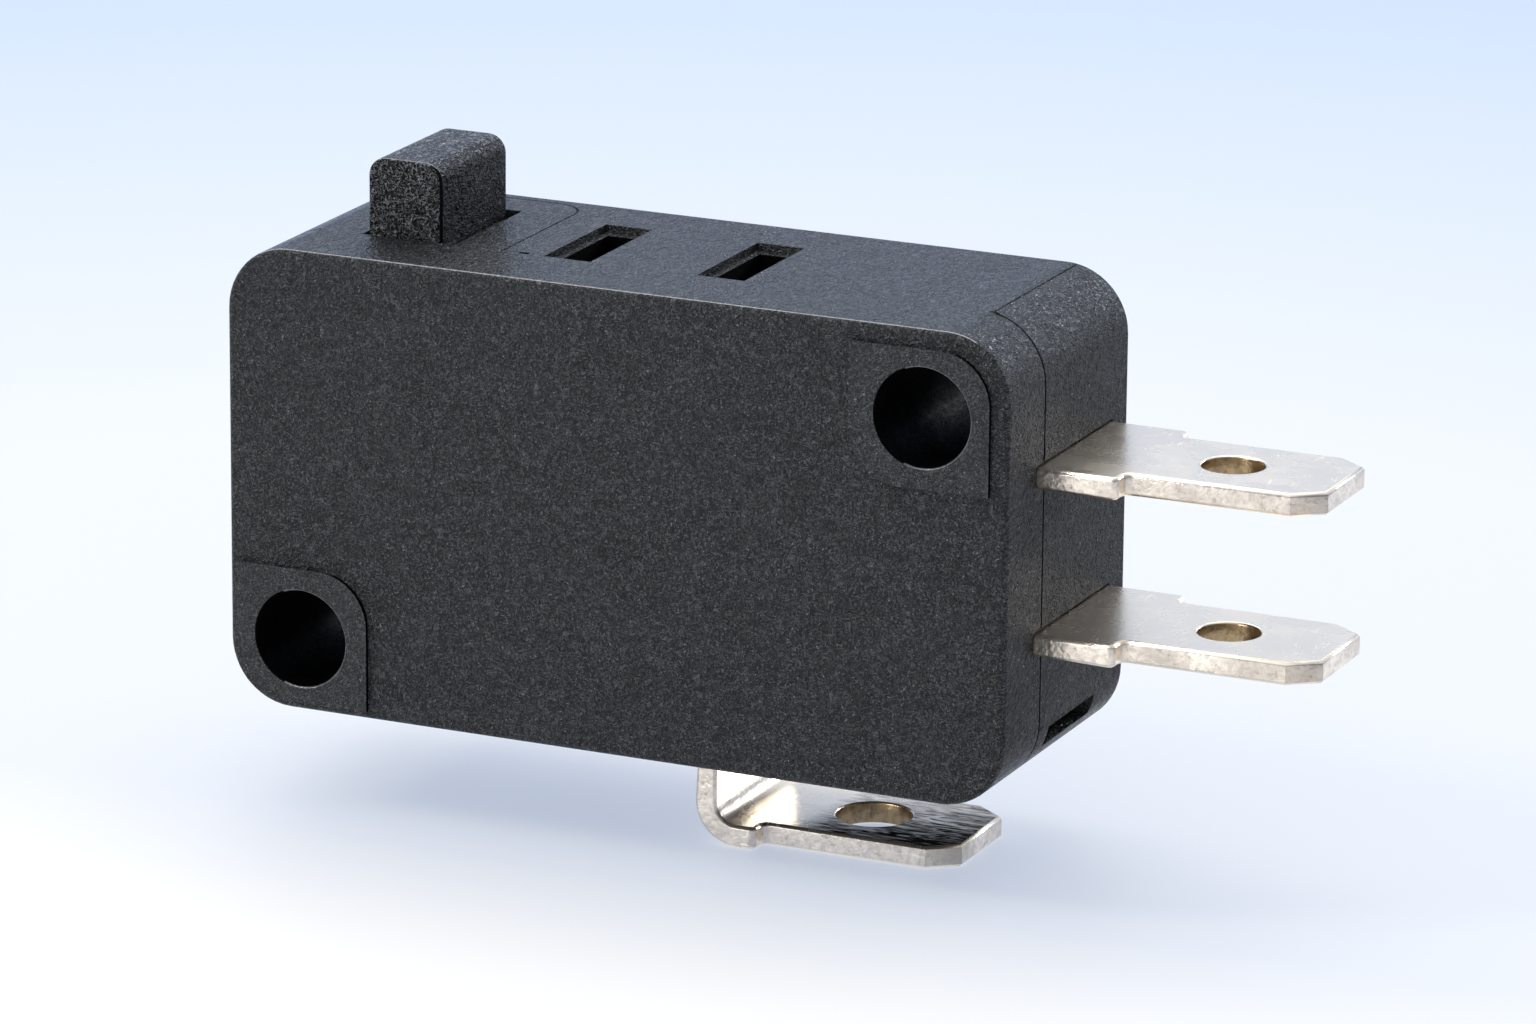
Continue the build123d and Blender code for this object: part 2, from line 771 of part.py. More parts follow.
def main():
    """Build every piece and write one file for each."""
    pieces = {
        "case": make_case(),
        "cover": make_cover(),
        "plunger": make_plunger(),
        "nc_terminal": make_nc_terminal(),
        "no_terminal": make_no_terminal(),
        "com_terminal": make_com_terminal(),
        "nc_contact": fixed_contact(upper_tab_top - strip, up=False),
        "no_contact": fixed_contact(lower_strip_top, up=True),
        "moving_contact": make_moving_contact(),
        "contact_blade": make_contact_blade(),
        "actuating_lever": make_actuating_lever(),
        "snap_spring": make_snap_spring(),
    }
    os.makedirs("parts", exist_ok=True)
    for name, piece in pieces.items():
        export_step(piece, f"parts/{name}.step")
    print_motion()


main()
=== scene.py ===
"""Studio dress of a plunger micro switch.

Moulded shells, plunger, plated blades and snap works, set on a pale floor under soft light.
"""

import json
import math

import bmesh
import bpy
from bpy.props import FloatProperty, FloatVectorProperty, PointerProperty
from mathutils import Matrix, Vector


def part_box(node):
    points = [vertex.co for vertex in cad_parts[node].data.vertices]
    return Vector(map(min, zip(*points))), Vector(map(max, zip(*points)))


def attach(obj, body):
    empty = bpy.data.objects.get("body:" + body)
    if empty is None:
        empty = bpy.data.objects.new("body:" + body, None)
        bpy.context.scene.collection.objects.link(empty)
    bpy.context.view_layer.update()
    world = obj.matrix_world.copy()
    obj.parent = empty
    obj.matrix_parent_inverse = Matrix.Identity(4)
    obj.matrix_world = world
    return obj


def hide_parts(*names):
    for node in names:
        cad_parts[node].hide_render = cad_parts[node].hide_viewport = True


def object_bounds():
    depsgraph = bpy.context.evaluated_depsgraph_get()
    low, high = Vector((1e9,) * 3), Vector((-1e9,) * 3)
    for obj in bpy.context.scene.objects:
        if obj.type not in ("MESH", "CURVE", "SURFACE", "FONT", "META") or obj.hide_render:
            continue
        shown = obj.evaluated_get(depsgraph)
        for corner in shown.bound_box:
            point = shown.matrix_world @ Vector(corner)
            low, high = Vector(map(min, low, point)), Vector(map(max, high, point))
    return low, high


bl_info = {
    "name": "Plunger Micro Switch",
    "version": (1, 0, 0),
    "blender": (4, 5, 0),
    "location": "View3D > Sidebar > Switch",
    "description": "Dresses the frame of a plunger micro switch and sets it on a pale studio floor",
    "category": "Object",
}

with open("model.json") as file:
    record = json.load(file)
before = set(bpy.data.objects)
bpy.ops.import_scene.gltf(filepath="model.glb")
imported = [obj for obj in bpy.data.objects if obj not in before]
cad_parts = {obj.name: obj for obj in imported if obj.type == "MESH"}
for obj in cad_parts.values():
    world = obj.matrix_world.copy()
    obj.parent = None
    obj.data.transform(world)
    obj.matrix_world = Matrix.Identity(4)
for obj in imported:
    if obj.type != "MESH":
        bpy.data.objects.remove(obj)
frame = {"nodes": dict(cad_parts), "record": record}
cad_low, cad_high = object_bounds()

MM = 0.001
BODY_MIDDLE = Vector((11.2, -5.15, 5.45)) * MM

# Points and planes closer than this count as one; edges turned further than this stay sharp
SAME_POINT = 1e-7
SAME_PLANE = math.radians(0.2)
SHARP_CORNER = math.radians(50)

# Parts of a face's normal: it leans towards an axis, or looks nearly straight along it
LEANING = 0.3
SQUARE_ON = 0.95

# Slots of the finishes on the shells, and on the terminals
# On the shells, SHADE takes painted shade, LIP a painted highlight, and PAD a skin lightened as
# painted sheen
SKIN, SHADE, PAD, LIP = range(4)
PLATED, PUNCHED, SHEARED, TARNISHED, CUT = range(5)

# Housing: rounds and finishes near the rims and bores, and the bands under the top edges that carry
# a painted highlight line
RIM_REACH = 1.2 * MM
BORE_WALL = 0.02 * MM
BORE_LIP = 0.08 * MM
SHELL_HIGHLIGHT_BAND = 0.25 * MM
PLUNGER_HIGHLIGHT_BAND = 0.7 * MM
HIGHLIGHT_BRIGHTEST = 0.5

# Housing: seam on the top face with the nick at its end, raised pads, and lever sockets
SEAM_DEPTH = 7.15 * MM
SEAM_HALF = 0.06 * MM
SEAM_SEEN = (3.5 * MM, 5.2 * MM)
NICK = (6.65 * MM, -7.15 * MM)
NICK_RADIUS = 0.21 * MM
PAD_FACE = -10.28 * MM
PAD_WALL = (-10.3 * MM, -10.16 * MM)
SOCKET_SPAN = (7.3 * MM, 14.7 * MM)
SOCKET_REAR = 2.4 * MM
SOCKET_STEP = 0.3 * MM
SOCKET_DEEP = 2.7 * MM

# Terminals: holes in the tabs, and the strip's full thickness, which starts a little inside
# the case's right wall and underside
HOLE_FROM_TIP = 3.85 * MM
HOLE_RADIUS = {"nc_terminal": 1.025 * MM, "no_terminal": 1.025 * MM, "com_terminal": 1.27 * MM}
HOLE_REACH = 1.1 * MM
HOLE_SLACK = 0.03 * MM
HOLE_LIP = 0.09 * MM
PUNCHED_REACH = 0.05 * MM
STRIP_SWELL = 0.16 * MM
WALL_RIGHT = 25.1 * MM
START_IN_WALL = 0.4 * MM
START_IN_UNDERSIDE = 0.2 * MM
COMMON_STEP = (14.74 * MM, 15.9 * MM)
COMMON_STEP_SHIFT = 0.35 * MM

# Tarnish on the common terminal: its colour, and where its waves start and grow
TARNISH = (0.012, 0.009, 0.007)
TARNISH_SHORE = (16.4 * MM, 17.2 * MM)
TARNISH_ALONG = (17.2 * MM, 22.1 * MM)
TARNISH_ACROSS = (-2.3 * MM, -6.9 * MM)

# Finishes of the works inside: name, metal, tint, stain, roughness, and the nodes that have it
WORKS = [
    (
        "contact_silver_alloy", (0.83, 0.82, 0.80), (0.60, 0.55, 0.48), (0.30, 0.27, 0.24), 0.30,
        ("nc_contact", "no_contact", "moving_contact"),
    ),
    (
        "spring_bronze", (0.68, 0.45, 0.26), (0.50, 0.30, 0.16), (0.22, 0.13, 0.07), 0.28,
        ("contact_blade",),
    ),
    (
        "lever_steel_strip", (0.56, 0.57, 0.58), (0.42, 0.40, 0.38), (0.20, 0.18, 0.16), 0.32,
        ("snap_spring", "actuating_lever"),
    ),
]

# Floor: its size, its gap under the strip, and where its colour and glow turn, in metres
FLOOR_RADIUS = 4.0
FLOOR_GAP = 0.01 * MM
FLOOR_TURN = (0.05, 0.17)
FRONT_TURN = (-0.005, -0.017)
FRONT_GLOW = (0.58, 0.60, 0.645)

# Room: parts of a direction between which its light turns, and the light high up behind
ROOM_BEHIND = (-0.5, 0.5)
ROOM_UP = (0.28, 0.5)
ROOM_RIGHT = (0.1, 0.8)
ROOM_RIGHT_SHARE = 0.5
ROOM_HIGH_BEHIND = (1.15, 1.22, 1.35)

# White softboxes: name, power, size, place, and whether they show only in gloss
SOFTBOXES = [
    ("front_fill", 0.15, (0.50, 0.30), (0.0, -0.25, 0.45), False),
    ("edge_light", 0.90, (0.12, 0.12), (-0.13, -0.10, 0.31), True),
    ("corner_light", 0.36, (0.06, 0.06), (0.17, 0.345, 0.125), True),
    ("glint_light", 0.60, (0.16, 0.05), (-0.17, -0.36, 0.10), True),
    ("sheen_light", 0.11, (0.20, 0.05), (-0.13, 0.28, 0.26), True),
]

# Camera: how far aside and down it is moved for the framing, in mm, and the range that it
# sees, in metres
CAMERA_ASIDE = 3.0535
CAMERA_DOWN = 0.9546
CAMERA_CLIP = (0.01, 20.0)


# Sizes and colours that a user would change


class SwitchBodyLook(bpy.types.PropertyGroup):
    """Finish of the two moulded shells."""

    colour: FloatVectorProperty(
        name="Plastic", description="Colour of the filled thermoset",
        subtype="COLOR", size=3, min=0, max=1, default=(0.0122, 0.0127, 0.0136),
    )
    # Painted highlight: pale colour on the creases of the grain, its glints, the front edge's line
    # and the bores' lips
    painted_highlight_colour: FloatVectorProperty(
        name="Crease highlights", description="Colour along the worn creases of the skin",
        subtype="COLOR", size=3, min=0, max=1, default=(0.105, 0.108, 0.113),
    )
    # Painted shade: near-black put on the walls of the bores, lever sockets, nick and seam groove,
    # and the pads' right-hand walls
    painted_shade_colour: FloatVectorProperty(
        name="Painted shade", description="Colour inside the mounting holes",
        subtype="COLOR", size=3, min=0, max=1, default=(0.0006, 0.0006, 0.0006),
    )
    grain_size: FloatProperty(
        name="Grain", description="Width of one bump of the eroded mould texture",
        unit="LENGTH", default=0.08 * MM, min=0.02 * MM, max=MM,
    )
    grain_depth: FloatProperty(
        name="Grain depth", description="Height of the mould texture",
        unit="LENGTH", default=0.09 * MM, min=0, max=0.3 * MM,
    )
    rim: FloatProperty(
        name="Rim", description="Round on the rims of slots and openings",
        unit="LENGTH", default=0.035 * MM, min=0.005 * MM, max=0.1 * MM,
    )


class SwitchPlungerLook(bpy.types.PropertyGroup):
    """Finish of the plunger."""

    colour: FloatVectorProperty(
        name="Plastic", description="Colour of the plunger",
        subtype="COLOR", size=3, min=0, max=1, default=(0.004, 0.004, 0.0042),
    )
    # Painted highlight: pale colour on the wrinkles' tops as glints, and on the top-front edge's
    # line
    painted_highlight_colour: FloatVectorProperty(
        name="Wrinkle highlights", description="Colour along the tops of the wrinkles",
        subtype="COLOR", size=3, min=0, max=1, default=(0.36, 0.36, 0.36),
    )
    wrinkle_size: FloatProperty(
        name="Wrinkle", description="Width of one wrinkle of the coarse mould texture",
        unit="LENGTH", default=0.085 * MM, min=0.02 * MM, max=MM,
    )
    wrinkle_depth: FloatProperty(
        name="Wrinkle depth", description="Height of the coarse mould texture",
        unit="LENGTH", default=0.13 * MM, min=0, max=0.5 * MM,
    )


class SwitchPlatingLook(bpy.types.PropertyGroup):
    """Finish of the three stamped terminals."""

    colour: FloatVectorProperty(
        name="Plating", description="Colour of the plating",
        subtype="COLOR", size=3, min=0, max=1, default=(0.97, 0.86, 0.71),
    )
    warm_colour: FloatVectorProperty(
        name="Warm tint", description="Colour where the plating is thin over the brass",
        subtype="COLOR", size=3, min=0, max=1, default=(0.90, 0.80, 0.66),
    )
    edge_colour: FloatVectorProperty(
        name="Sheared edge", description="Colour of the strip's sheared edges",
        subtype="COLOR", size=3, min=0, max=1, default=(1.0, 0.90, 0.79),
    )
    brass_colour: FloatVectorProperty(
        name="Brass", description="Colour of the bare brass in a punched hole",
        subtype="COLOR", size=3, min=0, max=1, default=(0.42, 0.31, 0.18),
    )
    stain_colour: FloatVectorProperty(
        name="Stains", description="Colour of the torn and stained metal",
        subtype="COLOR", size=3, min=0, max=1, default=(0.17, 0.13, 0.085),
    )
    edge_round: FloatProperty(
        name="Edge", description="Round that the punch leaves on an edge",
        unit="LENGTH", default=0.04 * MM, min=0.005 * MM, max=0.1 * MM,
    )


class SwitchStageLook(bpy.types.PropertyGroup):
    """Floor, light and camera."""

    floor_colour: FloatVectorProperty(
        name="Floor", description="Colour of the floor under the switch",
        subtype="COLOR", size=3, min=0, max=1, default=(0.50, 0.47, 0.41),
    )
    floor_glow: FloatVectorProperty(
        name="Floor glow", description="Light that comes through the floor near the switch",
        subtype="COLOR", size=3, min=0, max=1, default=(0.41, 0.465, 0.58),
    )
    far_glow: FloatVectorProperty(
        name="Far glow", description="Light that comes through the floor away from the switch",
        subtype="COLOR", size=3, min=0, max=1, default=(0.33, 0.41, 0.53),
    )
    far_colour: FloatVectorProperty(
        name="Far floor", description="Colour that the floor turns to away from the switch",
        subtype="COLOR", size=3, min=0, max=1, default=(0.18, 0.27, 0.42),
    )
    back_colour: FloatVectorProperty(
        name="Room behind", description="Light from the room behind the switch",
        subtype="COLOR", size=3, min=0, max=2, default=(0.60, 0.74, 1.02),
    )
    front_colour: FloatVectorProperty(
        name="Room in front", description="Light from the room in front of the switch",
        subtype="COLOR", size=3, min=0, max=2, default=(0.55, 0.575, 0.62),
    )
    room_light: FloatProperty(
        name="Room light", description="Strength of the room's light", default=0.85, min=0
    )
    key_power: FloatProperty(
        name="Key", description="Power of the large softbox overhead",
        unit="POWER", default=0.38, min=0,
    )
    key_colour: FloatVectorProperty(
        name="Key colour", description="Colour of the overhead and side softboxes",
        subtype="COLOR", size=3, min=0, max=1, default=(1.0, 0.93, 0.82),
    )
    side_power: FloatProperty(
        name="Side light",
        description="Power of the small softbox that grazes the front face from the upper left",
        unit="POWER", default=0.25, min=0,
    )
    lens: FloatProperty(
        name="Lens", description="Focal length of the camera",
        unit="CAMERA", default=187.5, min=20, max=500,
    )
    azimuth: FloatProperty(
        name="Azimuth", description="Angle of the camera round the switch",
        subtype="ANGLE", default=math.radians(24.3984),
    )
    elevation: FloatProperty(
        name="Elevation", description="Angle of the camera above the floor",
        subtype="ANGLE", default=math.radians(16.2562),
    )
    roll: FloatProperty(
        name="Roll", description="Tilt of the camera about its own axis",
        subtype="ANGLE", default=math.radians(-0.5059),
    )
    distance: FloatProperty(
        name="Distance", description="From the camera to the middle of the body",
        unit="LENGTH", default=262.4303 * MM, min=0.05,
    )


# Node building


class NodeBench:
    """Adds nodes to one tree: places, noise fields, sums, colours and bumps."""

    def __init__(self, tree):
        self.tree = tree

    def feed(self, source, target):
        """Join a socket to an input, or set a value on it."""
        if isinstance(source, bpy.types.NodeSocket):
            self.tree.links.new(source, target)
        else:
            target.default_value = source

    def add(self, kind, inputs=None, **settings):
        """Node of a kind with its settings; each input gets a socket or a value."""
        node = self.tree.nodes.new(kind)
        for name, value in settings.items():
            setattr(node, name, value)
        for key, source in (inputs or {}).items():
            self.feed(source, node.inputs[key])
        return node

    def axes(self, vector):
        """The X, Y and Z parts of a vector, by name."""
        return self.add("ShaderNodeSeparateXYZ", {"Vector": vector}).outputs

    def stretch(self, place, scale, turn=0.0):
        """A place scaled and turned about Z, so that a field over it is drawn out."""
        inputs = {"Vector": place, "Rotation": (0.0, 0.0, turn), "Scale": scale}
        return self.add("ShaderNodeMapping", inputs).outputs["Vector"]

    def noise(self, place, scale, detail, roughness=0.5, distortion=0.0):
        """Noise field over a place."""
        inputs = {
            "Vector": place, "Scale": scale, "Detail": detail, "Roughness": roughness,
            "Distortion": distortion,
        }
        return self.add("ShaderNodeTexNoise", inputs).outputs["Fac"]

    def calc(self, operation, *terms):
        """One sum over sockets and numbers."""
        node = self.add("ShaderNodeMath", dict(enumerate(terms)), operation=operation)
        return node.outputs["Value"]

    def times(self, value, other):
        """Two values multiplied."""
        return self.calc("MULTIPLY", value, other)

    def blend(self, value, factor, other):
        """A value times a factor, added to another value."""
        return self.calc("MULTIPLY_ADD", value, factor, other)

    def ridge(self, value):
        """How far a noise value lies from its middle, for creases."""
        return self.calc("ABSOLUTE", self.calc("SUBTRACT", value, 0.5))

    def spread(self, value, low, high, to_low=0.0, to_high=1.0):
        """Value mapped from one range to another, and held at the ends."""
        inputs = {
            "Value": value, "From Min": low, "From Max": high, "To Min": to_low, "To Max": to_high,
        }
        return self.add("ShaderNodeMapRange", inputs).outputs["Result"]

    def ramp(self, value, *stops):
        """Colour ramp over a value, with stops of place and grey or colour."""
        node = self.add("ShaderNodeValToRGB", {"Fac": value})
        elements = node.color_ramp.elements
        while len(elements) < len(stops):
            elements.new(0.5)
        for element, (place, colour) in zip(elements, stops):
            grey = isinstance(colour, float)
            element.position = place
            element.color = (colour, colour, colour, 1) if grey else (*colour, 1)
        return node.outputs["Color"]

    def mix(self, factor, *colours):
        """Two colours mixed; each is a socket or a plain colour."""
        first, second = (
            colour if isinstance(colour, bpy.types.NodeSocket) else (*colour, 1)
            for colour in colours
        )
        inputs = {0: factor, 6: first, 7: second}
        return self.add("ShaderNodeMix", inputs, data_type="RGBA").outputs[2]

    def bump(self, height, distance, normal=None):
        """Bump of a height field, over an earlier bump if one is given."""
        inputs = {"Height": height, "Strength": 1.0, "Distance": distance}
        if normal:
            inputs["Normal"] = normal
        return self.add("ShaderNodeBump", inputs).outputs["Normal"]


def new_material(name):
    """Node material with one principled shader. Returns the material, its bench and the shader."""
    material = bpy.data.materials.new(name)
    material.use_nodes = True
    tree = material.node_tree
    return material, NodeBench(tree), tree.nodes["Principled BSDF"]


def scaled(colour, factor):
    """A colour made darker or lighter."""
    return tuple(factor * c for c in colour)


def plastic_material(
    name, colour, painted_highlight_colour, grain_size, grain_depth, roughness, gloss, lit_above=None
):
    """Black moulded plastic: leathery skin, creases and specks painted pale as highlights and
    glints, and soft unevenness.

    Faces that look up are glossier and end faces duller. With lit_above, a highlight line is
    painted along the front edge over that height.
    """
    material, nodes, shader = new_material(name)
    coords = nodes.add("ShaderNodeTexCoord").outputs
    place = coords["Object"]
    facing = nodes.axes(coords["Normal"])
    endward = nodes.spread(facing["X"], 0.8, 1.0)

    # Height: broad swells under a skin of bumps, cut by creases
    drawn = nodes.stretch(place, (1.0, 0.45, 1.0))
    broad = nodes.noise(place, 520.0, 2.0, 0.55)
    skin = nodes.noise(drawn, 0.45 / grain_size, 2.0, 0.6, 0.5)
    crease = nodes.ridge(nodes.noise(drawn, 0.5 / grain_size, 1.0, 0.5, 1.3))
    height = nodes.blend(crease, -1.6, skin)

    # Colour: uneven plastic, then creases painted pale as highlights in patches, then painted
    # glints
    patches = nodes.spread(nodes.noise(drawn, 0.2 / grain_size, 0.0), 0.35, 0.65, 0.85, 1.0)
    patches = nodes.times(patches, nodes.spread(endward, 0.0, 1.0, 1.0, 0.3))
    crease_highlight = nodes.times(nodes.ramp(crease, (0.0, 1.0), (0.035, 0.3), (0.07, 0.0)), patches)
    specks = nodes.noise(drawn, 1.2 / grain_size, 0.0)
    glints = nodes.ramp(specks, (0.80, 0.0), (0.85, 1.0))
    tone = nodes.ramp(broad, (0.3, scaled(colour, 0.8)), (0.7, scaled(colour, 1.2)))
    tone = nodes.mix(crease_highlight, tone, painted_highlight_colour)
    tone = nodes.mix(glints, tone, scaled(painted_highlight_colour, 2))
    # Painted highlight: a bright line along the front edge just under lit_above
    if lit_above:
        near_top = nodes.spread(nodes.axes(place)["Z"], lit_above - 0.05 * MM, lit_above)
        turn = nodes.spread(facing["Y"], -1.0, 0.0)
        line = nodes.ramp(turn, (0.50, 0.0), (0.60, 1.0), (0.74, 1.0), (0.80, 0.0))
        bright = (min(HIGHLIGHT_BRIGHTEST, c) for c in scaled(painted_highlight_colour, 5))
        tone = nodes.mix(nodes.times(line, near_top), tone, bright)
    nodes.feed(tone, shader.inputs["Base Color"])

    # Gloss: duller in the creases and on end faces, glossier on top
    shine = nodes.spread(height, 0.1, 0.6, roughness + 0.08, roughness - 0.07)
    shine = nodes.blend(nodes.spread(facing["Z"], 0.1, 0.9), -0.10, shine)
    shine = nodes.blend(endward, 0.24, shine)
    nodes.feed(shine, shader.inputs["Roughness"])
    shader.inputs["Specular IOR Level"].default_value = gloss

    swell = nodes.bump(broad, 0.07 * MM)
    nodes.feed(nodes.bump(height, grain_depth, swell), shader.inputs["Normal"])
    return material


def metal_material(
    name, colour, tint_colour, stain_colour, roughness, stain_share, stretch, dent, pitted=0.2,
    tarnished=False,
):
    """Strip metal: satin skin with drawn lines, cloudy tint, stains, pits and slanting scratches.

    Tarnished metal turns dark in waves towards the common tab's front corner.
    """
    material, nodes, shader = new_material(name)
    place = nodes.add("ShaderNodeTexCoord").outputs["Object"]
    drawn = nodes.stretch(place, stretch)

    # Colour: tint in clouds and pits, then stains
    clouds = nodes.noise(place, 650.0, 2.0, 0.5)
    tone = nodes.mix(nodes.ramp(clouds, (0.25, 0.0), (0.85, 1.0)), colour, tint_colour)
    pits = nodes.noise(place, 5200.0, 2.0, 0.6)
    tone = nodes.mix(nodes.ramp(pits, (0.40, pitted), (0.55, 0.0)), tone, tint_colour)
    grime = nodes.noise(drawn, 2600.0, 3.0, 0.65)
    stain = nodes.ramp(grime, (0.56 - stain_share, 0.0), (0.80 - stain_share, 0.9))
    tone = nodes.mix(stain, tone, stain_colour)
    shader.inputs["Metallic"].default_value = 1.0
    if tarnished:
        share = tarnish_share(nodes, place)
        tone = nodes.mix(share, tone, TARNISH)
        nodes.feed(nodes.spread(share, 0.45, 0.95, 1.0, 0.0), shader.inputs["Metallic"])
        shader.inputs["Specular IOR Level"].default_value = 0.0
    nodes.feed(tone, shader.inputs["Base Color"])

    # Gloss: cloudy satin with rougher scratches in patches
    slanted = nodes.stretch(place, (5.0, 0.8, 5.0), turn=0.7)
    strokes = nodes.ridge(nodes.noise(slanted, 1100.0, 0.0, 0.5, 0.2))
    patches = nodes.ramp(nodes.noise(place, 1300.0, 0.0), (0.48, 0.0), (0.62, 0.8))
    scratch = nodes.times(nodes.ramp(strokes, (0.0, 1.0), (0.012, 0.0)), patches)
    shine = nodes.spread(clouds, 0.35, 0.7, roughness, roughness + 0.05)
    nodes.feed(nodes.blend(scratch, 0.25, shine), shader.inputs["Roughness"])

    rolled = nodes.bump(nodes.noise(drawn, 800.0, 3.0, 0.6), 0.6 * dent)
    nodes.feed(nodes.bump(pits, dent, rolled), shader.inputs["Normal"])
    return material


def tarnish_share(nodes, place):
    """How dark the common terminal is at a place: a clear shore, then waves that grow."""
    where = nodes.axes(place)
    shore = nodes.spread(where["X"], *TARNISH_SHORE, 0.0, 0.75)
    along = nodes.blend(nodes.spread(where["X"], *TARNISH_ALONG), 0.4, shore)
    across = nodes.spread(where["Y"], *TARNISH_ACROSS)
    waved = nodes.stretch(place, (0.5, 3.0, 1.0), turn=0.5)
    ripples = nodes.spread(nodes.noise(waved, 1900.0, 2.0, 0.6, 0.9), 0.36, 0.64)
    dark = nodes.blend(across, 0.6, nodes.blend(ripples, 0.5, along))
    dark = nodes.spread(dark, 0.75, 1.85)
    return nodes.ramp(dark, (0.0, 0.0), (0.24, 0.25), (0.62, 0.55), (1.0, 0.98))


# Mesh building


def put_in_scene(name, data):
    """New object in the scene for a mesh, a light or a camera."""
    thing = bpy.data.objects.new(name, data)
    bpy.context.scene.collection.objects.link(thing)
    return thing


def whole_mesh(node):
    """The CAD node's mesh with shared corners and whole flat faces, ready to work on."""
    bm = bmesh.new()
    bm.from_mesh(frame["nodes"][node].data)
    bmesh.ops.remove_doubles(bm, verts=bm.verts, dist=SAME_POINT)
    bmesh.ops.dissolve_limit(bm, angle_limit=SAME_PLANE, verts=bm.verts, edges=bm.edges)
    return bm


def round_edges(bm, width, wanted, segments=2, sharper_than=50):
    """Round the edges that turn by more than sharper_than degrees, where wanted says so."""
    limit = math.radians(sharper_than)
    edges = [
        e for e in bm.edges
        if e.is_manifold and e.calc_face_angle(0) > limit
        and wanted((e.verts[0].co + e.verts[1].co) / 2)
    ]
    bmesh.ops.bevel(
        bm, geom=edges, offset=width, offset_type="OFFSET", segments=segments, profile=0.5,
        affect="EDGES", clamp_overlap=True, miter_outer="SHARP", miter_inner="SHARP",
    )


def add_piece(bm, name, body, slot, materials, *nodes):
    """Object from a finished mesh, riding its body in place of its CAD nodes."""
    mesh = bpy.data.meshes.new(name)
    bm.normal_update()
    for edge in bm.edges:
        edge.smooth = edge.is_manifold and edge.calc_face_angle(0) < SHARP_CORNER
    bm.to_mesh(mesh)
    bm.free()
    piece = put_in_scene(name, mesh)
    for material in materials:
        mesh.materials.append(material)
    for face in mesh.polygons:
        face.use_smooth = True
    flatten = piece.modifiers.new("Even shading", "WEIGHTED_NORMAL")
    flatten.keep_sharp = True
    flatten.weight = 100
    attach(piece, body)
    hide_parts(*nodes)


# Shapes and finishes of the housing


def mounting_bores():
    """Axis and radius of each mounting hole, from the record."""
    bores = [m for m in frame["record"]["mounts"] if m["kind"] == "bore"]
    return [(m["pos_m"][0], m["pos_m"][2], m["dims"]["r_mm"] * MM) for m in bores]


def in_bore(point, bores, slack):
    """True inside one of the mounting holes, or within slack of its wall."""
    return any(math.hypot(point.x - x, point.z - z) < radius + slack for x, z, radius in bores)


def close_top_seam(bm, top):
    """Bring the seam's groove on the top face up flush, away from the plunger."""
    for vert in bm.verts:
        x, y, z = vert.co
        in_groove = abs(y + SEAM_DEPTH) < SEAM_HALF and top - SEAM_HALF < z < top
        if in_groove and not SEAM_SEEN[0] < x < SEAM_SEEN[1]:
            vert.co.z = top


def rim_test(depth, bores):
    """Test for the edges to round: those near the outer faces, and in a bore only its mouths."""
    low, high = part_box("case")
    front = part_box("cover")[0].y

    def test(point):
        mouth = point.y < front + depth / 2 or point.y > high.y - depth / 2
        if mouth or in_bore(point, bores, depth / 4):
            return mouth
        return (
            point.x < low.x + depth or point.x > high.x - depth
            or point.z < low.z + depth or point.z > high.z - depth
        )

    return test


def in_shade(face, bores, top):
    """True for walls that lie in the dark.

    They are those of nick, bores and lever sockets, the right-hand walls of the pads, and the
    seam's groove below the top face.
    """
    middle, facing = face.calc_center_median(), face.normal
    if math.hypot(middle.x - NICK[0], middle.y - NICK[1]) < NICK_RADIUS and abs(facing.z) < 0.5:
        return True
    if abs(facing.y) < 0.5 and in_bore(middle, bores, BORE_WALL):
        return True
    if PAD_WALL[0] < middle.y < PAD_WALL[1] and facing.x > LEANING and abs(facing.y) < 0.8:
        return True
    seam = abs(middle.y + SEAM_DEPTH) < SEAM_HALF and 0.4 < abs(facing.y) < SQUARE_ON
    sunk = top - SOCKET_DEEP < middle.z < top - SOCKET_STEP
    socket = SOCKET_SPAN[0] < middle.x < SOCKET_SPAN[1] and -SEAM_DEPTH < middle.y < -SOCKET_REAR
    return (seam and middle.z < top - SEAM_HALF) or (sunk and socket)


def shell_finish(face, bores, top):
    """Slot for one face of a shell: wall with painted shade, lip of a bore with a painted
    highlight, raised pad with painted sheen, or skin.
    """
    middle = face.calc_center_median()
    if in_shade(face, bores, top):
        return SHADE
    if LEANING < -face.normal.y < SQUARE_ON and in_bore(middle, bores, BORE_LIP):
        return LIP
    return PAD if middle.y < PAD_FACE else SKIN


# Shapes and finishes of the terminals


def from_hole(point, hole):
    """Distance from the axis of a tab's hole."""
    return math.hypot(point.x - hole[0], point.y - hole[1])


def fill_out(bm, node, hole):
    """Give a terminal outside the housing the strip's full thickness.

    The common one also gets its own width of hole, and its step further from the leg.
    """
    bm.normal_update()
    common = node == "com_terminal"
    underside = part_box("case")[0].z
    wider = HOLE_RADIUS[node] / HOLE_RADIUS["nc_terminal"] - 1
    moves = []
    for vert in bm.verts:
        x, y, z = vert.co
        by_hole = from_hole(vert.co, hole) < HOLE_REACH
        if common:
            outside = z < underside + START_IN_UNDERSIDE
        else:
            outside = x > WALL_RIGHT - START_IN_WALL
        outer = [
            face.normal for face in vert.link_faces
            if face.normal.z < -0.5 or (common and not by_hole and face.normal.x < -0.5)
        ]
        if outside and outer:
            way = sum(outer, Vector())
            way.x = min(way.x, 0) if common else 0
            way.y = 0
            moves.append((vert, way.normalized() * STRIP_SWELL))
        if common and by_hole:
            moves.append((vert, Vector(((x - hole[0]) * wider, (y - hole[1]) * wider, 0))))
        elif common and outside and COMMON_STEP[0] < x < COMMON_STEP[1]:
            moves.append((vert, Vector((COMMON_STEP_SHIFT, 0, 0))))
    for vert, move in moves:
        vert.co += move


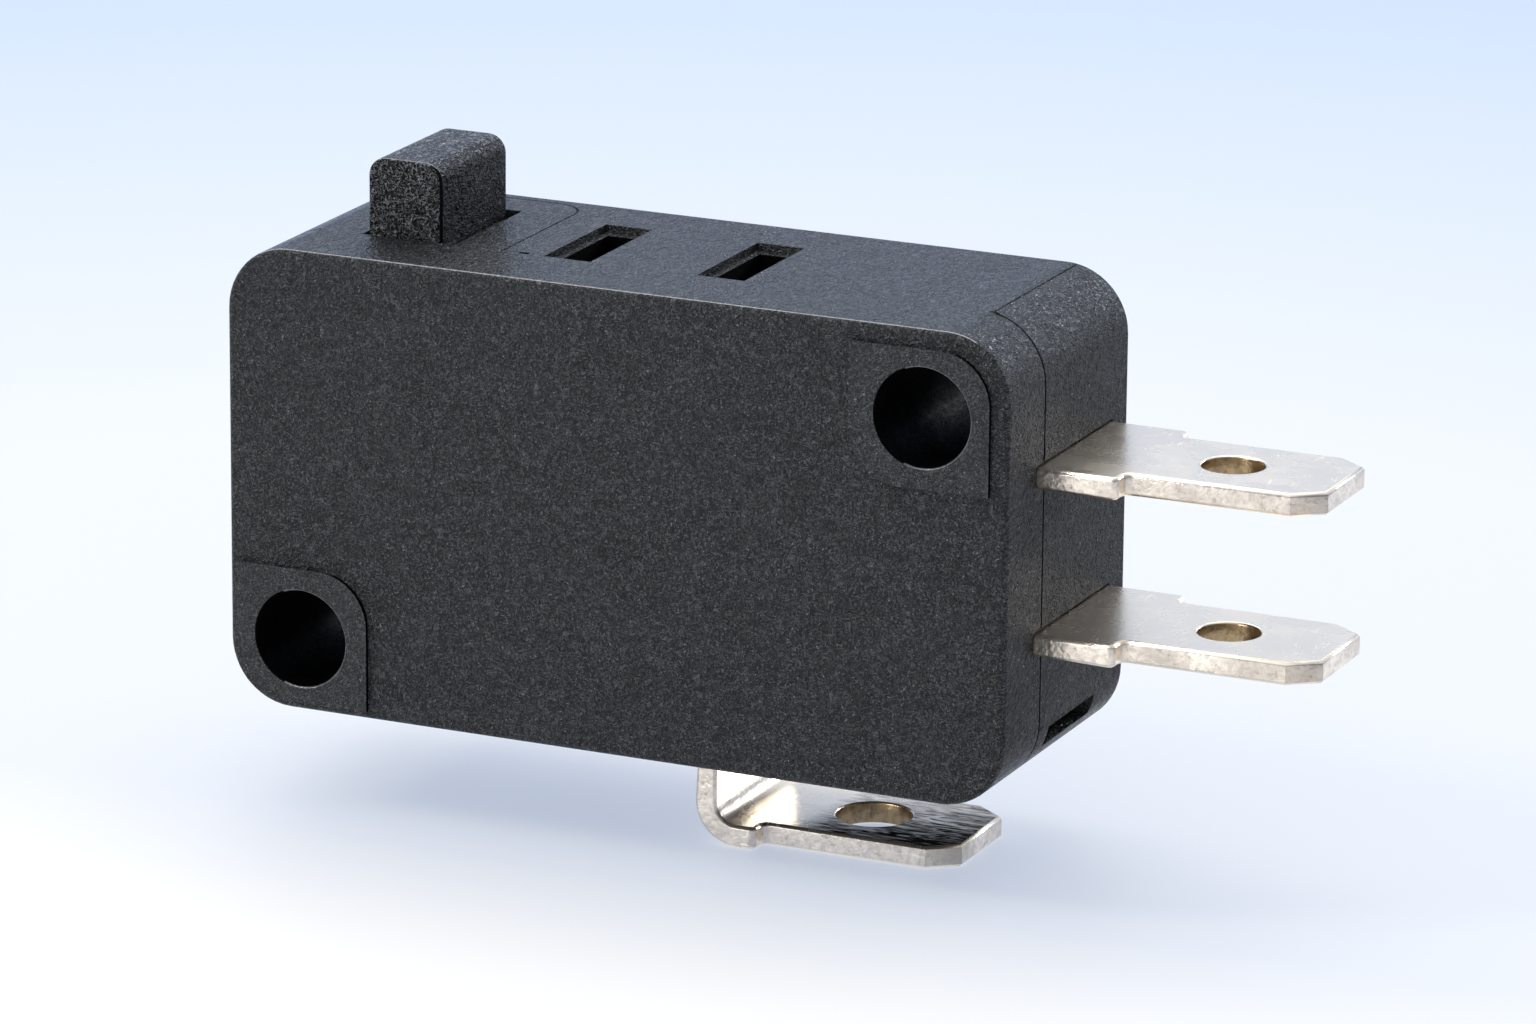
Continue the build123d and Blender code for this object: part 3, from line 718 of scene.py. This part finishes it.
def strip_finish(face, node, hole):
    """Slot for one face of a terminal: punched, cut or sheared edge, plated or tarnished flat."""
    middle, facing = face.calc_center_median(), face.normal
    past_hole = middle.x > hole[0]
    if abs(facing.z) < 0.6:
        if from_hole(middle, hole) < HOLE_RADIUS[node] + PUNCHED_REACH:
            return PUNCHED
        if past_hole and LEANING < facing.x < SQUARE_ON and facing.y < -LEANING:
            return CUT
        if past_hole or abs(facing.x) < SQUARE_ON:
            return SHEARED
    elif node == "com_terminal" and facing.z > 0.9:
        return TARNISHED
    return PLATED


# Stage


def lay_floor(look):
    """Round floor, white under and before the switch and pale blue away from it."""
    bm = bmesh.new()
    bmesh.ops.create_circle(bm, cap_ends=True, segments=96, radius=FLOOR_RADIUS)
    mesh = bpy.data.meshes.new("studio_floor")
    bm.to_mesh(mesh)
    bm.free()
    floor = put_in_scene("studio_floor", mesh)
    floor.location = (BODY_MIDDLE.x, BODY_MIDDLE.y, cad_low.z - STRIP_SWELL - FLOOR_GAP)
    material, nodes, shader = new_material("pale_floor")
    place = nodes.add("ShaderNodeTexCoord").outputs["Object"]
    span = nodes.add("ShaderNodeVectorMath", {0: place}, operation="LENGTH").outputs["Value"]
    away = nodes.spread(span, *FLOOR_TURN)
    colour = nodes.ramp(away, (0.0, look.floor_colour), (1.0, look.far_colour))
    glow = nodes.ramp(away, (0.0, look.floor_glow), (1.0, look.far_glow))
    forward = nodes.spread(nodes.axes(place)["Y"], *FRONT_TURN)
    glow = nodes.mix(forward, glow, FRONT_GLOW)
    nodes.feed(colour, shader.inputs["Base Color"])
    nodes.feed(glow, shader.inputs["Emission Color"])
    shader.inputs["Emission Strength"].default_value = 1.0
    shader.inputs["Roughness"].default_value = 0.55
    shader.inputs["Specular IOR Level"].default_value = 0.2
    mesh.materials.append(material)


def light_room(look):
    """Room light, pale blue and bright behind the switch, dimmer in front and to the right."""
    world = bpy.data.worlds.new("studio_room")
    world.use_nodes = True
    bpy.context.scene.world = world
    nodes = NodeBench(world.node_tree)
    way = nodes.axes(nodes.add("ShaderNodeTexCoord").outputs["Generated"])
    behind = nodes.spread(way["Y"], *ROOM_BEHIND)
    tone = nodes.ramp(behind, (0.0, look.front_colour), (1.0, look.back_colour))
    high_behind = nodes.times(nodes.spread(way["Z"], *ROOM_UP), behind)
    tone = nodes.mix(high_behind, tone, ROOM_HIGH_BEHIND)
    back = world.node_tree.nodes["Background"]
    nodes.feed(tone, back.inputs["Color"])
    dim = ROOM_RIGHT_SHARE * look.room_light
    nodes.feed(nodes.spread(way["X"], *ROOM_RIGHT, look.room_light, dim), back.inputs["Strength"])


def hang_softbox(name, power, size, place, colour=(1.0, 1.0, 1.0), glossy_only=False):
    """Softbox turned towards the middle of the switch; glossy_only hides it from matt surfaces."""
    lamp = bpy.data.lights.new(name, "AREA")
    lamp.shape = "RECTANGLE"
    lamp.size, lamp.size_y = size
    lamp.energy = power
    lamp.color = colour
    box = put_in_scene(name, lamp)
    turn = (BODY_MIDDLE - Vector(place)).to_track_quat("-Z", "Y")
    box.matrix_world = Matrix.Translation(place) @ turn.to_matrix().to_4x4()
    box.visible_diffuse = not glossy_only


def place_camera(look):
    """Camera where the photograph was taken from."""
    az, el, roll = look.azimuth, look.elevation, look.roll
    ahead = Vector((-math.sin(az) * math.cos(el), math.cos(az) * math.cos(el), -math.sin(el)))
    level = Vector((math.cos(az), math.sin(az), 0))
    below = ahead.cross(level)
    side = level * math.cos(roll) + below * math.sin(roll)
    down = below * math.cos(roll) - level * math.sin(roll)
    place = BODY_MIDDLE + side * CAMERA_ASIDE * MM + down * CAMERA_DOWN * MM
    place -= ahead * look.distance
    turn = Matrix((side, -down, -ahead)).transposed()
    data = bpy.data.cameras.new("studio_camera")
    data.lens = look.lens
    data.clip_start, data.clip_end = CAMERA_CLIP
    camera = put_in_scene("studio_camera", data)
    camera.matrix_world = Matrix.Translation(place) @ turn.to_4x4()
    bpy.context.scene.camera = camera


# Operators, one for each piece or group of like pieces, and one for the stage


class SWITCH_OT_housing(bpy.types.Operator):
    """Build the rear and front shells with rounded rims"""

    bl_idname = "switch.housing"
    bl_label = "Moulded housing"

    def execute(self, context):
        look = context.scene.switch_body
        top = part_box("case")[1].z
        finishes = [
            plastic_material(
                "moulded_black", look.colour, look.painted_highlight_colour, look.grain_size,
                grain_depth=look.grain_depth, roughness=0.34, gloss=0.2,
                lit_above=top - SHELL_HIGHLIGHT_BAND,
            ),
            # Painted shade: near-black on the walls that lie in the dark
            plastic_material(
                "painted_shade_black", look.painted_shade_colour, look.painted_shade_colour, look.grain_size,
                grain_depth=0.02 * MM, roughness=0.6, gloss=0.04,
            ),
            # Raised pads: finer grain, which is real, and the skin lightened by a quarter as
            # painted sheen
            plastic_material(
                "pad_painted_sheen", scaled(look.colour, 1.25), look.painted_highlight_colour, look.grain_size,
                grain_depth=0.6 * look.grain_depth, roughness=0.34, gloss=0.22,
            ),
            # Painted highlight on the front lips of the bores
            plastic_material(
                "bore_lip_painted_highlight", look.painted_highlight_colour, scaled(look.painted_highlight_colour, 2), look.grain_size,
                grain_depth=0.005 * MM, roughness=0.3, gloss=0.5,
            ),
        ]
        bores = mounting_bores()
        wanted = rim_test(RIM_REACH, bores)
        for node in ("case", "cover"):
            bm = whole_mesh(node)
            close_top_seam(bm, top)
            round_edges(bm, look.rim, wanted)
            for face in bm.faces:
                face.material_index = shell_finish(face, bores, top)
            add_piece(bm, f"{node}_shell", "base", "body_plastic", finishes, node)
        return {"FINISHED"}


class SWITCH_OT_plunger(bpy.types.Operator):
    """Build the plunger with its coarse wrinkled skin"""

    bl_idname = "switch.plunger"
    bl_label = "Plunger"

    def execute(self, context):
        look = context.scene.switch_plunger
        finishes = [
            # Wrinkle tops painted pale as glints, and a highlight line painted along the top-front
            # edge
            plastic_material(
                "plunger_black", look.colour, look.painted_highlight_colour, look.wrinkle_size,
                grain_depth=look.wrinkle_depth, roughness=0.28, gloss=0.13,
                lit_above=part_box("plunger")[1].z - PLUNGER_HIGHLIGHT_BAND,
            ),
            plastic_material(
                "plunger_edge_shade", look.colour, look.colour, look.wrinkle_size,
                grain_depth=0.01 * MM, roughness=0.6, gloss=0.05,
            ),
        ]
        bm = whole_mesh("plunger")
        for face in bm.faces:
            facing = face.normal
            front_right = facing.x > 0.25 and facing.y < -0.25 and facing.z < 0.75
            face.material_index = SHADE if front_right else SKIN
        add_piece(bm, "wrinkled_plunger", "plunger", "plunger_plastic", finishes, "plunger")
        return {"FINISHED"}


class SWITCH_OT_terminals(bpy.types.Operator):
    """Build the three stamped and plated terminals"""

    bl_idname = "switch.terminals"
    bl_label = "Blade terminals"

    def execute(self, context):
        look = context.scene.switch_plating
        plated = (look.colour, look.warm_colour, look.stain_colour)
        rolled = {
            "roughness": 0.25, "stain_share": -0.32, "stretch": (1.0, 6.0, 6.0),
            "dent": 0.005 * MM,
        }
        torn = {
            "stain_share": -0.03, "stretch": (1.1, 1.4, 1.8), "dent": 0.025 * MM, "pitted": 0.45,
        }
        finishes = [
            metal_material("plated_face", *plated, **rolled),
            metal_material(
                "punched_brass", look.brass_colour, look.brass_colour, look.stain_colour,
                roughness=0.30, stain_share=0.10, stretch=(1.5, 1.5, 1.0), dent=0.02 * MM,
            ),
            metal_material(
                "sheared_edge", look.edge_colour, scaled(look.edge_colour, 0.5),
                look.stain_colour, roughness=0.30, **torn,
            ),
            metal_material("tarnished_face", *plated, tarnished=True, **rolled),
            metal_material(
                "cut_corner", scaled(look.edge_colour, 0.66), scaled(look.edge_colour, 0.4),
                look.stain_colour, roughness=0.34, **torn,
            ),
        ]
        for node, radius in HOLE_RADIUS.items():
            low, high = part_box(node)
            hole = (high.x - HOLE_FROM_TIP, (low.y + high.y) / 2)
            bm = whole_mesh(node)
            fill_out(bm, node, hole)
            near = radius + HOLE_SLACK
            round_edges(bm, HOLE_LIP, lambda point: from_hole(point, hole) < near, segments=3)
            near += HOLE_LIP
            round_edges(
                bm, look.edge_round, lambda point: from_hole(point, hole) > near, sharper_than=40
            )
            for face in bm.faces:
                face.material_index = strip_finish(face, node, hole)
            add_piece(bm, f"{node}_blade", "base", "plated_strip", finishes, node)
        return {"FINISHED"}


class SWITCH_OT_works(bpy.types.Operator):
    """Give the contacts, contact blade, lever and spring inside their finishes"""

    bl_idname = "switch.works"
    bl_label = "Snap works"

    def execute(self, context):
        for name, metal, tint, stain, roughness, nodes in WORKS:
            finish = metal_material(
                name, metal, tint, stain, roughness,
                stain_share=-0.08, stretch=(1.0, 12.0, 12.0), dent=0.003 * MM,
            )
            for node in nodes:
                mesh = frame["nodes"][node].data
                mesh.materials.clear()
                mesh.materials.append(finish)
        return {"FINISHED"}


class SWITCH_OT_stage(bpy.types.Operator):
    """Set the floor, the light and the camera"""

    bl_idname = "switch.stage"
    bl_label = "Studio stage"

    def execute(self, context):
        look = context.scene.switch_stage
        lay_floor(look)
        light_room(look)
        hang_softbox(
            "overhead_softbox", look.key_power, (0.36, 0.30), (-0.05, 0.09, 0.36), look.key_colour
        )
        hang_softbox(
            "side_softbox", look.side_power, (0.08, 0.08), (-0.24, -0.13, 0.24), look.key_colour
        )
        for name, power, size, place, glossy_only in SOFTBOXES:
            hang_softbox(name, power, size, place, glossy_only=glossy_only)
        place_camera(look)
        context.scene.view_settings.view_transform = "Standard"
        return {"FINISHED"}


class SWITCH_PT_panel(bpy.types.Panel):
    """Sizes, colours and steps of the micro switch"""

    bl_idname = "SWITCH_PT_panel"
    bl_label = "Micro Switch"
    bl_space_type = "VIEW_3D"
    bl_region_type = "UI"
    bl_category = "Switch"

    def draw(self, context):
        for group, steps in SECTIONS:
            box = self.layout.box()
            look = getattr(context.scene, group)
            for name in look.bl_rna.properties.keys():
                if name not in ("rna_type", "name"):
                    box.prop(look, name)
            for step in steps:
                box.operator(step.bl_idname)


GROUPS = {
    "switch_body": SwitchBodyLook,
    "switch_plunger": SwitchPlungerLook,
    "switch_plating": SwitchPlatingLook,
    "switch_stage": SwitchStageLook,
}
SECTIONS = [
    ("switch_body", [SWITCH_OT_housing]),
    ("switch_plunger", [SWITCH_OT_plunger]),
    ("switch_plating", [SWITCH_OT_terminals, SWITCH_OT_works]),
    ("switch_stage", [SWITCH_OT_stage]),
]
OPERATORS = [step for _, steps in SECTIONS for step in steps]
CLASSES = [*GROUPS.values(), *OPERATORS, SWITCH_PT_panel]


def register():
    """Register the classes and give the scene its groups of looks."""
    for cls in CLASSES:
        bpy.utils.register_class(cls)
    for name, group in GROUPS.items():
        setattr(bpy.types.Scene, name, PointerProperty(type=group))


def unregister():
    """Take the groups and the classes away again."""
    for name in GROUPS:
        delattr(bpy.types.Scene, name)
    for cls in reversed(CLASSES):
        bpy.utils.unregister_class(cls)


def main():
    """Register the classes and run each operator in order."""
    register()
    for step in OPERATORS:
        group, name = step.bl_idname.split(".")
        getattr(getattr(bpy.ops, group), name)()


if __name__ == "__main__":
    main()
